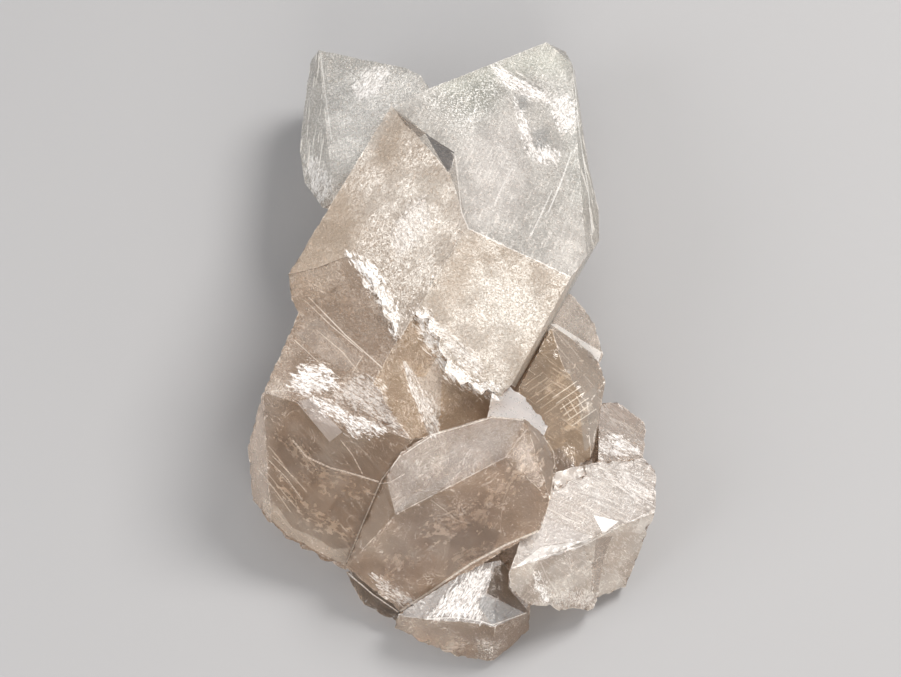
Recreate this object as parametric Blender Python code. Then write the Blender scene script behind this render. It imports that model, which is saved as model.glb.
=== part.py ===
"""Smoky quartz specimen: a cluster of intergrown crystals lying on its broken underside.

Sizes are millimetres until the last step, which scales the solid to metres.
Corners are read as they show to a viewer VIEW_DISTANCE away and VIEW_ELEVATION above the horizon:
across to the right, up the picture, and the corner's height above the surface.
"""

import math

import bmesh
import bpy
from mathutils import Matrix, Vector, noise

VIEW_ELEVATION = 65.0
VIEW_DISTANCE = 600.0
VIEW_AIM = Vector((0.0, -12.7, 27.2))
FLOOR_REACH = 300.0
SCAR_CLEARANCE = 4.0
LAP = 0.05
WELD = 0.004
MM = 0.001
QUARTZ_IOR = 1.544

# The hidden root mass, a low broken lump in plan: to the right and away from the viewer.
ROOT_RIM = ((-35, -36), (-22, -58), (-2, -70), (24, -66), (40, -50), (37, -22), (29, 4), (8, 22), (-20, 24), (-35, 2))
ROOT_TOP = ((-26, -30), (-10, -50), (14, -54), (30, -42), (27, -18), (12, 8), (-14, 12), (-28, -8))
ROOT_TOP_HEIGHT = 24.0

ELEVATION = math.radians(VIEW_ELEVATION)
SIGHT_UP = Vector((0.0, math.sin(ELEVATION), math.cos(ELEVATION)))
TOWARD_VIEWER = Vector((0.0, -math.cos(ELEVATION), math.sin(ELEVATION)))
EYE = VIEW_AIM + VIEW_DISTANCE * TOWARD_VIEWER


def sight_line(across, up):
    """The direction from the viewer's eye to a place in the picture."""
    return (VIEW_AIM + Vector((across, 0.0, 0.0)) + up * SIGHT_UP - EYE).normalized()


def spot(across, up, height):
    """The point at this height that shows at this place in the picture."""
    line = sight_line(across, up)
    return EYE + line * ((height - EYE.z) / line.z)


def spots(*corners):
    return [spot(*corner) for corner in corners]


class Face:
    """A flat crystal face through three corners."""

    def __init__(self, a, b, c):
        self.point = a
        self.normal = (b - a).cross(c - a).normalized()
        if self.normal.dot(TOWARD_VIEWER) < 0.0:
            self.normal = -self.normal

    def sunk(self, depth):
        """A parallel face this far behind."""
        face = Face.__new__(Face)
        face.point = self.point - depth * self.normal
        face.normal = self.normal
        return face

    def at(self, across, up):
        """The point of the face that shows at this place in the picture."""
        line = sight_line(across, up)
        return EYE + line * ((self.point - EYE).dot(self.normal) / line.dot(self.normal))

    def ring(self, *corners):
        return [self.at(*corner) for corner in corners]


def behind(points, depth, spread):
    """The same points moved away from the viewer, and drawn in or out about their middle."""
    middle = sum(points, Vector()) / len(points)
    return [middle + (point - middle) * spread - depth * TOWARD_VIEWER for point in points]


def solid(name, mesh):
    bmesh.ops.recalc_face_normals(mesh, faces=mesh.faces[:])
    data = bpy.data.meshes.new(name)
    mesh.to_mesh(data)
    mesh.free()
    thing = bpy.data.objects.new(name, data)
    bpy.context.scene.collection.objects.link(thing)
    return thing


def hull(name, points):
    """The convex crystal that has these corners."""
    mesh = bmesh.new()
    for point in points:
        mesh.verts.new(point)
    found = bmesh.ops.convex_hull(mesh, input=mesh.verts[:])
    loose = {item for item in found["geom_interior"] + found["geom_unused"] if isinstance(item, bmesh.types.BMVert)}
    bmesh.ops.delete(mesh, geom=list(loose), context="VERTS")
    bmesh.ops.dissolve_limit(mesh, angle_limit=math.radians(0.6), verts=mesh.verts[:], edges=mesh.edges[:])
    return solid(name, mesh)


def crystal(name, front, depths):
    """A crystal from its visible corners and a list of depth and spread for the rings behind them."""
    points = list(front)
    for depth, spread in depths:
        points += behind(front, depth, spread)
    return hull(name, points)


def plate(name, ring, depth, spread=1.0):
    """A plate with a ragged outline: a ring of corners on a face, and the same ring behind it."""
    mesh = bmesh.new()
    front = [mesh.verts.new(point) for point in ring]
    back = [mesh.verts.new(point) for point in behind(ring, depth, spread)]
    mesh.faces.new(front)
    mesh.faces.new(back[::-1])
    for i in range(len(ring)):
        j = (i + 1) % len(ring)
        mesh.faces.new((front[i], back[i], back[j], front[j]))
    return solid(name, mesh)


# The faces that more than one crystal shares, each through three corners.
CENTRE_FACE = Face(*spots((3.8, 30.2, 58.5), (29.0, 18.0, 48.6), (-10.8, 6.5, 52.4)))
LEFT_FACE = Face(*spots((3.8, 30.2, 58.5), (-39.1, 18.5, 50.3), (-14.2, 59.3, 61.0)))
BROAD_FACE = Face(*spots((7.4, 26.9, 56.4), (29.0, 18.0, 48.6), (23.0, 74.4, 31.0)))
# The broken-off part of the left face drops away from its left end to the tear beside the centre.
SKIN = LEFT_FACE.sunk(0.2)
LEFT_SUNK = Face(SKIN.at(-39.1, 18.5), SKIN.at(-25.2, 22.8), LEFT_FACE.sunk(2.0).at(-13.0, 2.4))
RIDGE = LEFT_SUNK.ring((-13.0, 2.4), (-18.7, -7.7))
CENTRE_SUNK = Face(*RIDGE, CENTRE_FACE.sunk(4.2).at(12.0, -9.0))
PRISM_BEVEL = Face(LEFT_SUNK.at(-45.1, -9.6), RIDGE[1], CENTRE_SUNK.at(-9.6, -21.1))
PRISM_END = Face(LEFT_SUNK.at(-45.1, -9.6), CENTRE_SUNK.at(-9.6, -21.1), spot(-25.2, -51.6, 10.0))
FAN_LEFT, FAN_RIGHT = spots((14.2, -52.6, 30.0), (46.3, -39.1, 20.0))
FAN_UPPER = Face(FAN_LEFT, FAN_RIGHT, spot(32.4, -27.5, 26.0))
FAN_LOWER = Face(FAN_LEFT, FAN_RIGHT, spot(41.0, -54.0, 7.0))


def broad_crystal():
    """The wide crystal on the upper right, with its tip the highest in the picture."""
    front = BROAD_FACE.ring((-13.7, 58.8), (-4.8, 63.4), (23.0, 74.4), (29.0, 69.6), (32.6, 22.8), (29.0, 18.0), (7.4, 26.9))
    tip = spots((27.6, 72.2, 27.0), (29.8, 67.7, 25.0), (30.9, 54.7, 25.0), (32.8, 45.0, 28.0))
    low = CENTRE_FACE.sunk(0.2).ring((3.8, 30.0), (14.6, -8.0), (0.0, 0.0))
    side = spots((35.8, 26.9, 35.0), (15.6, -8.6, 30.0))
    return crystal("broad_crystal", front + tip + low + side, ((12.0, 0.98), (30.0, 0.72)))


def broad_side():
    """The narrow striped growth down the right side of the wide crystal."""
    inner = BROAD_FACE.sunk(0.6).ring((29.4, 60.0), (32.2, 24.0))
    outer = spots((30.7, 54.7, 27.0), (35.5, 34.6, 31.0), (35.8, 26.9, 35.0), (33.6, 24.0, 38.0))
    return crystal("broad_side", inner + outer, ((14.0, 0.8),))


def far_crystal():
    """The clear crystal behind, whose tip is at the top left."""
    face = Face(*spots((-31.7, 72.5, 30.0), (-7.2, 66.5, 37.0), (-28.8, 34.6, 38.0)))
    front = face.ring((-31.7, 72.5), (-10.8, 68.2), (-7.2, 66.5), (-28.8, 50.9), (-28.0, 36.0), (-10.0, 30.0))
    side = spots((-33.8, 69.6, 26.0), (-35.8, 53.3, 26.0), (-36.2, 48.0, 26.5), (-35.0, 40.6, 29.0), (-30.7, 34.6, 33.0))
    chip = spots((-4.8, 62.9, 35.0), (2.0, 52.0, 30.0))
    return crystal("far_crystal", front + side + chip, ((9.0, 0.97), (25.0, 0.68)))


def left_crystal():
    """The body of the frosted crystal left of the centre, its tip between the two top ones."""
    front = SKIN.ring((-14.2, 59.2), (0.0, 42.7), (3.6, 30.2), (-38.8, 18.6))
    notch = LEFT_SUNK.sunk(LAP).ring((-38.6, 15.5), (-38.2, 12.5), (-36.5, 9.4), (-8.0, 10.0))
    end = spots((1.0, 47.3, 54.5), (2.4, 40.0, 54.0))
    return crystal("left_crystal", front + notch + end, ((16.0, 0.98), (36.0, 0.74)))


def left_plate():
    """The frosted skin on the left face, with its ragged lower edge."""
    ring = LEFT_FACE.ring(
        (-39.1, 18.5), (-32.0, 20.2), (-25.2, 22.8), (-22.6, 22.0), (-21.1, 19.2), (-19.0, 17.6), (-18.4, 14.4),
        (-16.6, 12.4), (-16.0, 8.6), (-14.0, 7.2), (-13.6, 4.0), (-11.8, 3.8), (4.1, 30.0), (0.0, 42.7), (-14.2, 59.3),
    )
    return plate("left_plate", ring, 8.0)


def centre_plate():
    """The bright plate at the centre, with its ragged lower edge."""
    ring = CENTRE_FACE.ring(
        (3.8, 30.2), (7.4, 26.9), (28.9, 18.0), (14.6, -8.0), (12.0, -11.0), (9.0, -9.0), (7.4, -10.4), (4.2, -7.2),
        (2.4, -8.0), (0.6, -5.6), (-1.4, -5.0), (-1.0, -1.8), (-3.0, 0.6), (-2.6, 3.6), (-5.6, 5.2), (-5.0, 8.0),
        (-7.0, 8.0), (-8.6, 9.2),
    )
    return plate("centre_plate", ring, 9.0, 0.99)


def great_prism():
    """The long brown body that the plates lie on, down to the lower left."""
    upper = LEFT_SUNK.ring((-20.0, 20.0), (-36.5, 9.4), (-45.1, -9.6)) + RIDGE
    right = CENTRE_SUNK.ring((3.0, 28.0), (24.0, 14.0), (12.0, -9.0), (10.0, -18.0), (-9.6, -21.1))
    end = PRISM_END.ring((-43.6, -24.0), (-43.2, -40.8), (-38.4, -45.1), (-25.2, -51.6))
    bevel = spots((-48.7, -22.8, 22.0), (-47.5, -35.5, 13.0))
    return crystal("great_prism", upper + right + end + bevel, ((10.0, 0.98), (44.0, 0.8)))


def prism_rim():
    """The thin broken ledge round the foot of the long brown body."""
    face = Face(*spots((-47.0, -33.0, 9.0), (-24.6, -52.4, 5.5), (-34.0, -30.0, 13.0)))
    ring = face.ring(
        (-47.8, -34.0), (-45.4, -38.2), (-43.6, -41.0), (-42.2, -41.4), (-39.4, -44.8), (-37.0, -45.6), (-35.8, -47.2),
        (-33.0, -47.8), (-31.4, -49.8), (-28.6, -50.6), (-25.2, -52.4), (-20.0, -50.0), (-22.0, -38.0), (-40.0, -28.0),
    )
    return plate("prism_rim", ring, 14.0, 0.9)


def near_crystal():
    """The crystal that stands nearest to the viewer, below the centre."""
    left, right = spots((-13.2, -39.1, 30.0), (13.2, -25.4, 49.0))
    main = Face(left, right, spot(-12.0, -62.4, 7.0))
    bevel = Face(left, right, spot(-4.8, -19.7, 41.5))
    front = main.ring((-25.2, -51.6), (-12.0, -62.4), (4.8, -50.4), (21.6, -42.7), (24.0, -35.5))
    rim = bevel.ring((-15.6, -30.2), (-12.0, -24.0), (-4.8, -19.7), (9.6, -15.4), (18.0, -16.1))
    side = spots((22.8, -20.2, 46.0), (25.0, -27.1, 43.0))
    return crystal("near_crystal", [left, right] + front + rim + side, ((10.0, 0.96), (36.0, 0.7)))


def end_facet():
    """The pale facet behind the nearest crystal."""
    face = Face(*spots((12.0, -11.5, 41.5), (23.5, -17.5, 40.0), (18.0, -11.0, 39.0)))
    ring = face.ring((10.0, -9.5), (14.4, -8.4), (18.0, -11.0), (23.5, -17.5), (21.6, -22.0), (8.0, -20.0))
    return crystal("end_facet", ring, ((20.0, 0.8),))


def side_crystal():
    """The amber crystal on the right, behind the nearest one."""
    main = Face(*spots((16.3, -8.6, 33.0), (26.6, -2.2, 34.0), (27.1, -25.7, 24.0)))
    front = main.ring((16.3, -8.6), (26.6, -2.2), (29.5, -7.4), (32.9, -12.7), (33.8, -25.7), (24.6, -29.6), (18.0, -28.0))
    upper = Face(front[1], front[3], spot(33.6, -0.7, 30.0))
    top = upper.ring((24.2, 6.0), (27.1, 4.6), (30.7, 2.4), (33.6, -0.7), (35.8, -2.9), (37.2, -7.0))
    side = spots((36.5, -11.8, 20.0), (35.3, -19.0, 19.0), (34.0, -25.7, 18.5))
    return crystal("side_crystal", front + top + side, ((8.0, 0.96), (26.0, 0.8)))


def side_back_crystal():
    """The pale crystal that shows above the amber one."""
    face = Face(*spots((28.8, 14.2, 30.0), (36.0, -1.0, 25.0), (24.2, 6.0, 33.0)))
    front = face.ring((22.0, 12.0), (28.8, 14.2), (32.4, 10.1), (34.6, 6.7), (35.5, 2.6), (36.7, -1.0), (35.6, -3.2), (24.0, 2.0))
    return crystal("side_back_crystal", front, ((8.0, 0.95), (24.0, 0.8)))


def low_right():
    """The small pale crystal at the right edge."""
    face = Face(*spots((38.0, -13.0, 17.0), (46.3, -19.0, 12.5), (38.0, -25.0, 17.5)))
    front = face.ring((35.6, -13.0), (36.7, -12.2), (40.1, -12.0), (46.3, -16.6), (47.0, -18.7), (46.3, -26.0), (35.4, -27.0))
    return crystal("low_right", front, ((7.0, 0.95), (20.0, 0.8)))


def fan_upper():
    """The upper face of the pale crystals that spread to the lower right."""
    rim = FAN_UPPER.ring((20.0, -36.0), (25.4, -28.8), (31.7, -26.9), (46.3, -25.4), (49.4, -28.3), (49.2, -38.4))
    skirt = FAN_LOWER.ring((46.3, -43.4), (42.4, -53.3), (42.0, -56.4), (32.0, -60.4), (15.0, -55.0))
    return crystal("fan_upper", [FAN_LEFT, FAN_RIGHT] + rim + skirt, ((7.0, 0.96), (22.0, 0.8)))


def fan_lower():
    """The thicker lower left half of the same crystals."""
    ring = FAN_LOWER.sunk(-1.4).ring(
        (14.0, -52.8), (17.3, -50.9), (31.7, -46.3), (34.6, -52.0), (34.2, -57.6), (35.2, -59.4), (34.0, -62.2),
        (29.5, -61.4), (26.2, -62.2), (24.0, -61.0), (18.5, -60.7), (14.4, -57.1),
    )
    return plate("fan_lower", ring, 12.0, 0.95)


def foot():
    """The broken lump at the bottom of the picture."""
    ridge = spots((-12.9, -63.2, 11.5), (-5.8, -64.2, 14.5), (5.3, -65.0, 16.0), (10.8, -66.0, 15.5), (18.0, -62.6, 12.0))
    low = spots((-13.4, -66.2, 7.0), (-6.2, -70.1, 5.0), (1.4, -73.0, 3.5), (9.8, -74.4, 2.5), (14.6, -70.6, 3.5), (18.8, -66.6, 6.0))
    back = spots((-8.0, -60.0, 10.0), (0.0, -55.0, 17.5), (6.0, -51.0, 21.5), (12.0, -50.0, 23.0), (19.4, -58.0, 15.0))
    return crystal("foot", ridge + low + back, ((4.0, 0.96), (20.0, 0.8)))


def foot_left():
    """The dark rim under the left of the nearest crystal."""
    face = Face(*spots((-25.2, -52.8, 7.0), (-13.4, -64.3, 5.0), (-16.0, -53.0, 8.0)))
    front = face.ring((-25.2, -52.8), (-21.1, -60.5), (-15.8, -63.4), (-12.7, -64.6), (-8.0, -58.0), (-18.0, -50.0))
    return crystal("foot_left", front, ((4.0, 0.95), (14.0, 0.8)))


def root_mass():
    """The hidden broken lump that the crystals grow from."""
    rim = [Vector((x, y, -1.0)) for x, y in ROOT_RIM]
    shoulder = [Vector((x * 1.02, y * 1.01, 7.0 + 3.0 * noise.noise(Vector((x, y, 3.0)) * 0.11))) for x, y in ROOT_RIM]
    top = [Vector((x, y, ROOT_TOP_HEIGHT + 4.0 * noise.noise(Vector((x, y, 9.0)) * 0.13))) for x, y in ROOT_TOP]
    return hull("root_mass", rim + shoulder + top)


def scar(name, face, depth, *corners):
    """The space that a broken patch takes out of a face: a ragged outline, cut this deep."""
    ring = face.sunk(-SCAR_CLEARANCE).ring(*corners)
    return plate(name, ring, SCAR_CLEARANCE + depth, 0.99)


def scars():
    return [
        scar("prism_scar", PRISM_BEVEL, 0.6, (-39.4, -8.4), (-37.9, -4.8), (-33.6, -3.4), (-31.0, -5.4), (-28.8, -4.6),
             (-25.2, -6.2), (-19.7, -6.7), (-16.8, -9.6), (-16.0, -13.4), (-13.9, -17.4), (-17.3, -16.6),
             (-21.1, -19.2), (-25.2, -17.5), (-29.0, -21.6), (-33.1, -18.7), (-34.6, -14.4), (-38.4, -11.0)),
        scar("fan_scar", FAN_UPPER, 1.0, (25.4, -28.6), (31.9, -26.4), (33.0, -29.6), (28.6, -31.4), (25.2, -32.9)),
    ]


def combine(base, other, operation):
    """Joins another solid to the base, or takes it out, and drops it."""
    step = base.modifiers.new(operation, "BOOLEAN")
    step.operation = operation
    step.solver = "EXACT"
    step.object = other
    graph = bpy.context.evaluated_depsgraph_get()
    result = bpy.data.meshes.new_from_object(base.evaluated_get(graph), depsgraph=graph)
    base.modifiers.clear()
    spent = base.data
    base.data = result
    bpy.data.meshes.remove(spent)
    bpy.data.objects.remove(other, do_unlink=True)


def below_surface():
    mesh = bmesh.new()
    bmesh.ops.create_cube(mesh, size=FLOOR_REACH, matrix=Matrix.Translation((0.0, 0.0, -FLOOR_REACH / 2.0)))
    return solid("below_surface", mesh)


def finish(cluster):
    """Welds stray corners, sets the specimen on its base about the origin, and scales it to metres."""
    mesh = bmesh.new()
    mesh.from_mesh(cluster.data)
    bmesh.ops.remove_doubles(mesh, verts=mesh.verts[:], dist=WELD)
    bmesh.ops.dissolve_degenerate(mesh, edges=mesh.edges[:], dist=WELD)
    bmesh.ops.dissolve_limit(mesh, angle_limit=math.radians(0.1), verts=mesh.verts[:], edges=mesh.edges[:])
    bmesh.ops.triangulate(mesh, faces=mesh.faces[:], quad_method="BEAUTY", ngon_method="BEAUTY")
    spans = [[vert.co[axis] for vert in mesh.verts] for axis in range(2)]
    middle = Vector(((min(spans[0]) + max(spans[0])) / 2.0, (min(spans[1]) + max(spans[1])) / 2.0, 0.0))
    bmesh.ops.translate(mesh, verts=mesh.verts[:], vec=-middle)
    bmesh.ops.scale(mesh, verts=mesh.verts[:], vec=(MM, MM, MM))
    bmesh.ops.recalc_face_normals(mesh, faces=mesh.faces[:])
    mesh.to_mesh(cluster.data)
    mesh.free()
    for polygon in cluster.data.polygons:
        polygon.use_smooth = False


def smoky_quartz():
    material = bpy.data.materials.new("smoky_quartz")
    material.use_nodes = True
    shader = material.node_tree.nodes["Principled BSDF"]
    shader.inputs["Base Color"].default_value = (0.62, 0.52, 0.43, 1.0)
    shader.inputs["Roughness"].default_value = 0.12
    shader.inputs["IOR"].default_value = QUARTZ_IOR
    shader.inputs["Transmission Weight"].default_value = 0.6
    return material


def clear_start():
    for thing in list(bpy.data.objects):
        bpy.data.objects.remove(thing, do_unlink=True)


def main():
    clear_start()
    makers = (broad_crystal, broad_side, far_crystal, left_crystal, left_plate, centre_plate, prism_rim,
              near_crystal, end_facet, side_crystal, side_back_crystal, low_right, fan_upper, fan_lower, foot,
              foot_left, root_mass)
    cluster = great_prism()
    for make in makers:
        combine(cluster, make(), "UNION")
    for cutter in scars() + [below_surface()]:
        combine(cluster, cutter, "DIFFERENCE")
    cluster.name = cluster.data.name = "quartz_cluster"
    finish(cluster)
    cluster.data.materials.clear()
    cluster.data.materials.append(smoky_quartz())


main()
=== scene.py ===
"""Smoky quartz specimen on a pale floor: the crystal cluster's surface, its broken patches and its veils."""

import math

import bmesh
import bpy
import numpy as np
from mathutils import Matrix, Vector, noise
from mathutils.bvhtree import BVHTree
from mathutils.kdtree import KDTree


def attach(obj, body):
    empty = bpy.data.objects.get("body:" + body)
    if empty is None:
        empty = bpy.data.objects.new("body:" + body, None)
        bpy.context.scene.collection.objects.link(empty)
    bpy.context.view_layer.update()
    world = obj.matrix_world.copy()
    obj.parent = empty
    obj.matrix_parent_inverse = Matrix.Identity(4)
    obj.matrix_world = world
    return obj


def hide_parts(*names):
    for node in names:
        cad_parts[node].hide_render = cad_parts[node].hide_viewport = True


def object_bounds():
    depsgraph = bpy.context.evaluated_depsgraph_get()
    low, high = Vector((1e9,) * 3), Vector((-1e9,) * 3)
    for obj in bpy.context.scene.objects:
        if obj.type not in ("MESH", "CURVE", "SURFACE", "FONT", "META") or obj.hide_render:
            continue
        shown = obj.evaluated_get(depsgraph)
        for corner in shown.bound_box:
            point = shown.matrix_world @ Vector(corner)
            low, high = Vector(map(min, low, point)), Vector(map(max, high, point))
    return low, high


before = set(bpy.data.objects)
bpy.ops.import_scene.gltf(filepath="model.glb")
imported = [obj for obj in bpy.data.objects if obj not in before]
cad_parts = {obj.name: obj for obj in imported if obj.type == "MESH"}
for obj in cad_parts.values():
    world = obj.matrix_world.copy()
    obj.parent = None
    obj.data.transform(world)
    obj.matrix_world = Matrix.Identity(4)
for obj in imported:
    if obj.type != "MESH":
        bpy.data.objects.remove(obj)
CAD_BOX = [list(corner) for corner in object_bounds()]

# The viewer, in millimetres about the specimen, as in the photograph.
MM = 0.001
ROUNDING = 1e-4
BOX_LOW = np.array(CAD_BOX[0]) / MM + (ROUNDING, ROUNDING, 0.0)
BOX_HIGH = np.array(CAD_BOX[1]) / MM - ROUNDING
VIEW_ELEVATION = 65.0
VIEW_DISTANCE = 600.0
VIEW_AIM = np.array((-0.35, -9.65, 27.2))
PICTURE_WIDTH = 216.24
PICTURE_DROP = 3.24
SENSOR = 36.0
ELEVATION = math.radians(VIEW_ELEVATION)
SIGHT_UP = np.array((0.0, math.sin(ELEVATION), math.cos(ELEVATION)))
TOWARD_VIEWER = np.array((0.0, -math.cos(ELEVATION), math.sin(ELEVATION)))
EYE = VIEW_AIM + VIEW_DISTANCE * TOWARD_VIEWER


def picture_place(points):
    """Across, up and depth of points in millimetres, as the viewer sees them."""
    seen = points - EYE
    depth = -(seen @ TOWARD_VIEWER)
    across = seen[:, 0] / depth * VIEW_DISTANCE
    up = seen @ SIGHT_UP / depth * VIEW_DISTANCE
    return np.stack((across, up, VIEW_DISTANCE - depth), axis=1)


# Camera, floor and light


def add_object(name, data):
    made = bpy.data.objects.new(name, data)
    bpy.context.scene.collection.objects.link(made)
    return made


def add_camera():
    camera = add_object("camera", bpy.data.cameras.new("camera"))
    aim = Vector(VIEW_AIM + PICTURE_DROP * SIGHT_UP) * MM
    camera.location = Vector(EYE) * MM
    camera.rotation_euler = (aim - camera.location).to_track_quat("-Z", "Y").to_euler()
    camera.data.sensor_width = SENSOR
    camera.data.lens = SENSOR * VIEW_DISTANCE / PICTURE_WIDTH
    camera.data.clip_start = 0.01
    bpy.context.scene.camera = camera


FLOOR_GAP = 0.0003
FLOOR_REACH = 4.0
LAMP_AIM = (0.0, 0.0, 0.03)


def add_floor():
    mesh = bmesh.new()
    bmesh.ops.create_grid(mesh, x_segments=1, y_segments=1, size=FLOOR_REACH)
    data = bpy.data.meshes.new("floor")
    mesh.to_mesh(data)
    mesh.free()
    floor = add_object("floor", data)
    floor.location.z = -FLOOR_GAP
    material = bpy.data.materials.new("floor")
    material.use_nodes = True
    shader = material.node_tree.nodes["Principled BSDF"]
    shader.inputs["Base Color"].default_value = (0.33, 0.33, 0.34, 1.0)
    shader.inputs["Roughness"].default_value = 0.7
    data.materials.append(material)


def add_light(name, place, size, power, colour=(1.0, 1.0, 1.0)):
    data = bpy.data.lights.new(name, "AREA")
    data.shape = "DISK"
    data.size = size
    data.energy = power
    data.color = colour
    light = add_object(name, data)
    light.location = place
    light.rotation_euler = (Vector(LAMP_AIM) - Vector(place)).to_track_quat("-Z", "Y").to_euler()


def add_world():
    world = bpy.data.worlds.new("studio")
    world.use_nodes = True
    world.node_tree.nodes["Background"].inputs["Color"].default_value = (1.0, 0.985, 0.965, 1.0)
    world.node_tree.nodes["Background"].inputs["Strength"].default_value = 0.6
    bpy.context.scene.world = world


def add_stage():
    bpy.context.scene.view_settings.view_transform = "Standard"
    cycles = bpy.context.scene.cycles
    cycles.use_denoising = True
    cycles.adaptive_threshold = 0.03
    cycles.max_bounces = 9
    cycles.transmission_bounces = 9
    cycles.sample_clamp_indirect = 4.0
    add_camera()
    add_floor()
    add_world()
    add_light("key", (0.42, 0.30, 0.75), 0.4, 7.8, (1.0, 0.97, 0.93))
    add_light("fill", (-0.6, -0.3, 0.5), 0.5, 2.5)
    add_light("front", (0.1, -0.75, 0.5), 0.5, 4.0, (1.0, 0.95, 0.89))


# Node helpers


class Graph:
    """Adds nodes to a material; an input takes a number, a tuple or another node's output."""

    def __init__(self, material):
        self.tree = material.node_tree

    def feed(self, socket, value):
        if hasattr(value, "node"):
            self.tree.links.new(value, socket)
        else:
            socket.default_value = value

    def node(self, kind, inputs=None, **settings):
        made = self.tree.nodes.new(kind)
        for key, value in settings.items():
            setattr(made, key, value)
        for key, value in (inputs or {}).items():
            self.feed(made.inputs[key], value)
        return made

    def attribute(self, name, output="Fac"):
        return self.node("ShaderNodeAttribute", attribute_name=name).outputs[output]

    def math(self, operation, a, b=0.0, clamp=False):
        return self.node("ShaderNodeMath", {0: a, 1: b}, operation=operation, use_clamp=clamp).outputs[0]

    def times(self, a, b):
        return self.math("MULTIPLY", a, b)

    def mapped(self, source, scale, shift=(0.0, 0.0, 0.0)):
        return self.node("ShaderNodeMapping", dict(Vector=source, Scale=scale, Location=shift)).outputs[0]

    def noise(self, vector, scale=1.0, detail=4.0, rough=0.55, twist=0.0):
        inputs = dict(Vector=vector, Scale=scale, Detail=detail, Roughness=rough, Distortion=twist)
        return self.node("ShaderNodeTexNoise", inputs).outputs["Fac"]

    def ramp(self, value, low, high, to_low=0.0, to_high=1.0):
        inputs = {"Value": value, "From Min": low, "From Max": high, "To Min": to_low, "To Max": to_high}
        return self.node("ShaderNodeMapRange", inputs, interpolation_type="SMOOTHSTEP").outputs["Result"]

    def grey(self, value):
        return self.node("ShaderNodeCombineColor", {0: value, 1: value, 2: value}).outputs[0]

    def mix(self, share, a, b, blend="MIX"):
        first, second = (value if hasattr(value, "node") else (*value, 1.0) for value in (a, b))
        inputs = {0: share, 6: first, 7: second}
        return self.node("ShaderNodeMix", inputs, data_type="RGBA", blend_type=blend).outputs[2]


# Places in the picture, in pairs of steps of 0.24 mm across and down from its upper left corner

PICTURE_STEP = 0.24
PICTURE_MIDDLE = np.array((450.0, 352.0))


def drawn(points):
    """Across and up in millimetres of places in the picture."""
    steps = (np.array(points, float).reshape(-1, 2) - PICTURE_MIDDLE) * PICTURE_STEP
    return steps * (1.0, -1.0)


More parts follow.
